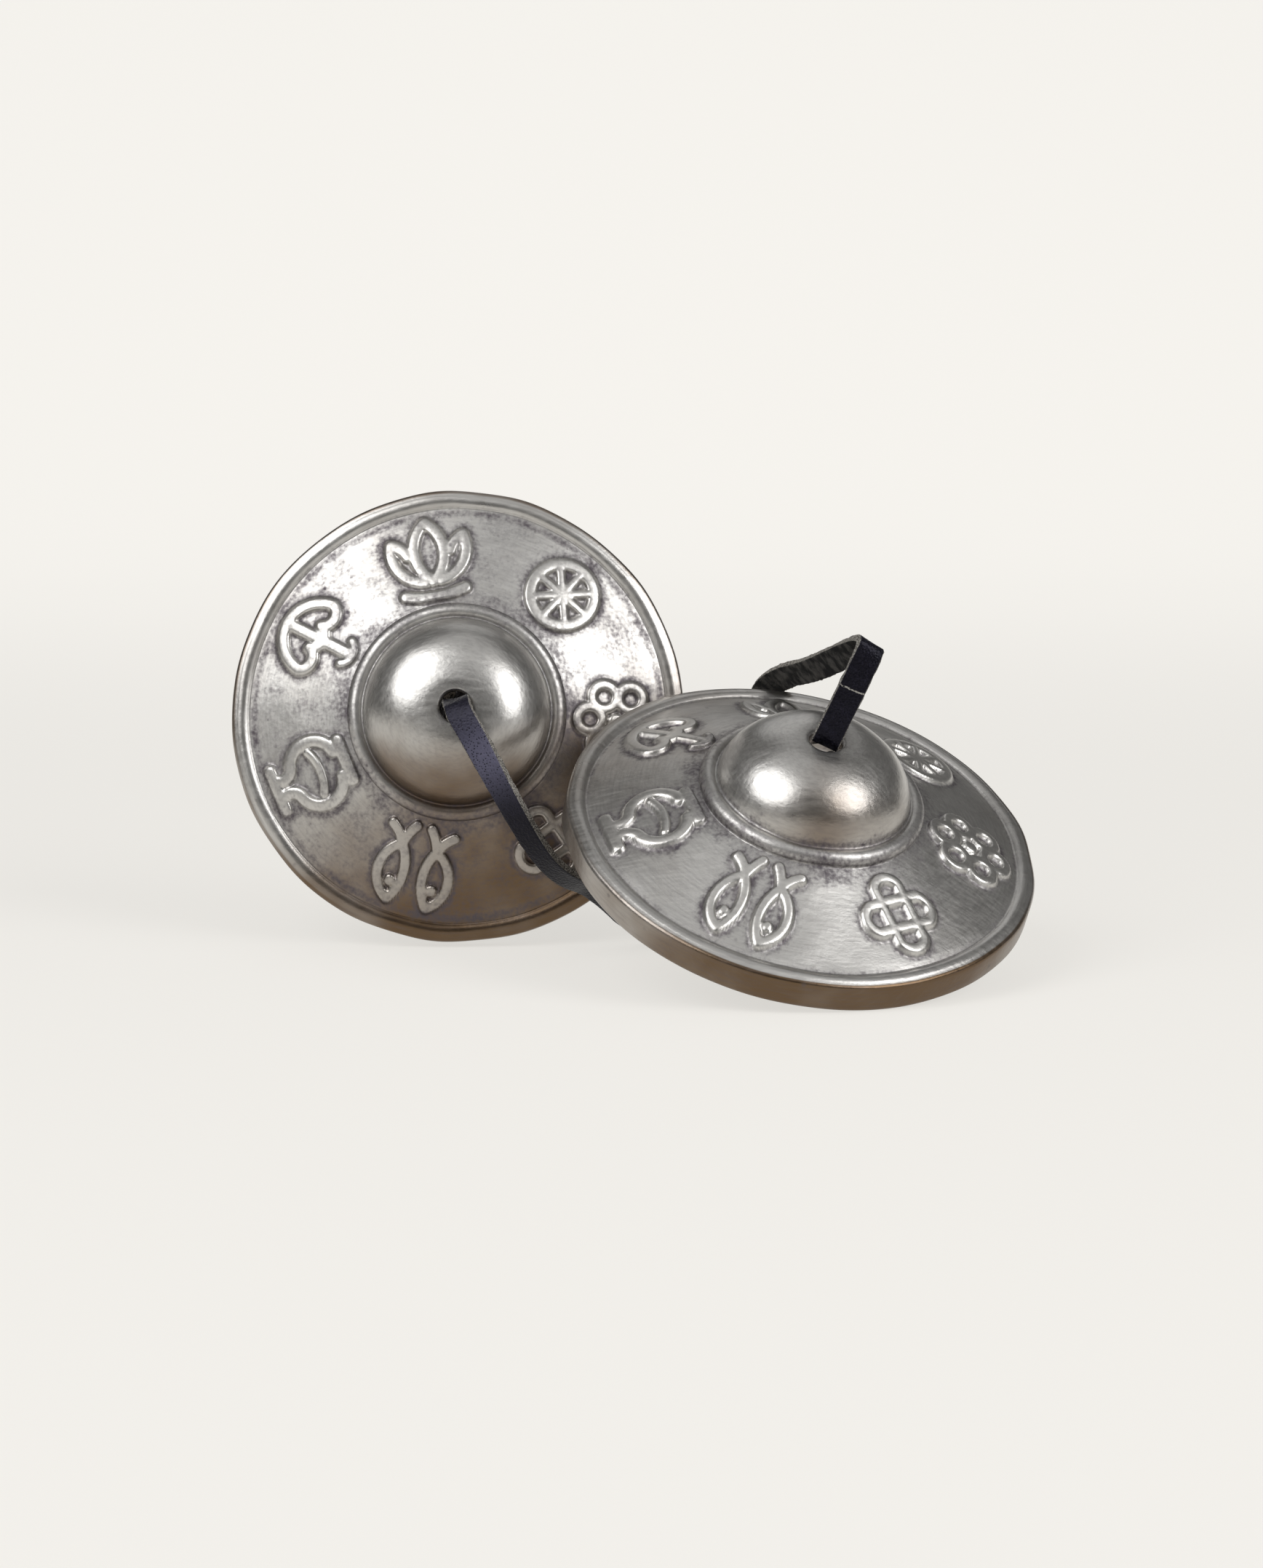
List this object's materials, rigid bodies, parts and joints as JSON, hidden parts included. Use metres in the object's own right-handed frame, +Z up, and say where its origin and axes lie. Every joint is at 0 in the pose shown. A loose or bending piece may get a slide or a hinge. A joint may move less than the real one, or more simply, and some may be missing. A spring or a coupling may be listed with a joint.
{
  "type": "tingsha cymbals",
  "caption": "Hand cymbals cast in bell metal, domed, with raised ornament, joined by a flat leather lace through their crowns and leaning on each other.",
  "frame": {"origin": "on the table, under the middle of the two cymbals", "axes": "+Z up, +X to the right from the left cymbal to the right one, +Y away from the viewer"},
  "size_m": [0.121, 0.0739, 0.0693],
  "materials": {
    "bell_metal": "aged, brushed, dark in the recesses",
    "lace": "smooth grain side, suede back"
  },
  "bodies": {
    "strap": {"strap_left_span": "lace", "strap_floor_run": "lace", "strap_right_span": "lace"},
    "left_stopper": {"left_knot": "lace"},
    "left_bell": {"left_cymbal": "bell_metal"},
    "right_stopper": {"right_knot": "lace"},
    "right_bell": {"right_cymbal": "bell_metal"}
  },
  "joints": [
    {"name": "left_swing", "type": "hinge", "parent": "strap", "child": "left_stopper", "pos_m": [-0.02497, 0.00723, 0.0383], "axis": [0, 0, 1], "range_deg": [0, 30]},
    {"name": "left_spin", "type": "hinge", "parent": "left_stopper", "child": "left_bell", "pos_m": [-0.02497, 0.00723, 0.0383], "axis": [0.0274, -0.9799, 0.1977], "continuous": true},
    {"name": "right_swing", "type": "hinge", "parent": "strap", "child": "right_stopper", "pos_m": [0.0291, -0.0118, 0.03553], "axis": [0, 0, -1], "range_deg": [0, 30]},
    {"name": "right_spin", "type": "hinge", "parent": "right_stopper", "child": "right_bell", "pos_m": [0.0291, -0.0118, 0.03553], "axis": [0.1793, -0.4796, 0.859], "continuous": true}
  ]
}
